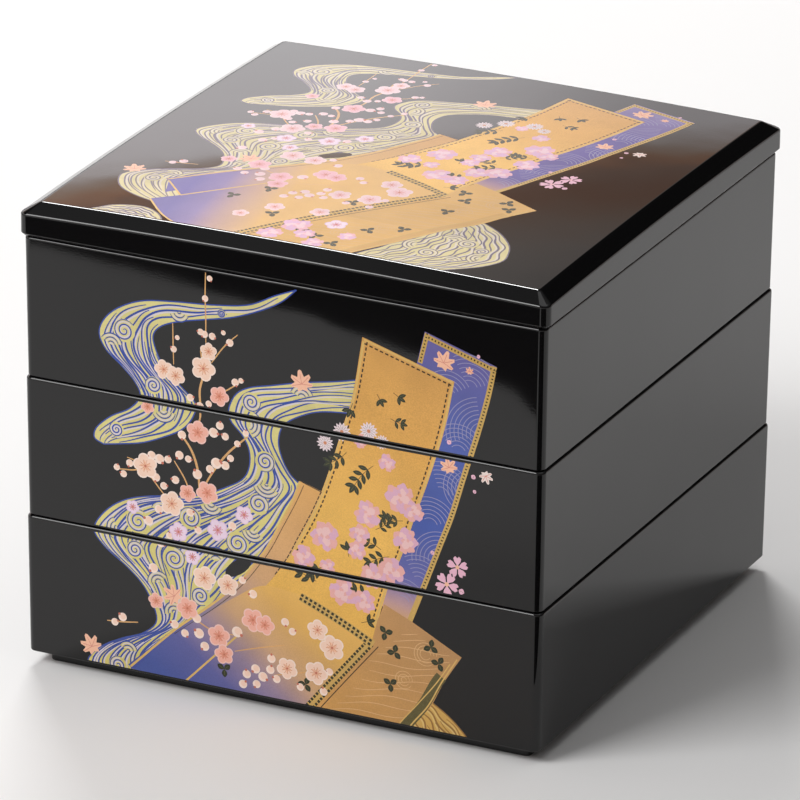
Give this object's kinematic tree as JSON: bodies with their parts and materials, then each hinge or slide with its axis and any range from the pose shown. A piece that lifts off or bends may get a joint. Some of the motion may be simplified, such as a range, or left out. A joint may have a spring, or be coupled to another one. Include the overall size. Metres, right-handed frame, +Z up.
{
  "type": "stacking lacquer box",
  "caption": "Square stacking box of gloss black lacquer, with nesting trays, a recessed foot, a chamfered and crowned lift-off lid, and a painted picture on its lid and front.",
  "frame": {"origin": "middle of the underside, on the surface that the box stands on", "axes": "+Z up through the stack, the painted front faces -Y, +X to the right of someone facing the front"},
  "size_m": [0.1974, 0.1974, 0.1717],
  "materials": {
    "black_lacquer": "polished black lacquer over wood, with a painted picture in gold, blue and pink on the lid and the front"
  },
  "bodies": {
    "root": {"tier_bottom": "black_lacquer", "tier_middle": "black_lacquer", "tier_top": "black_lacquer", "lid": "black_lacquer"}
  },
  "joints": []
}
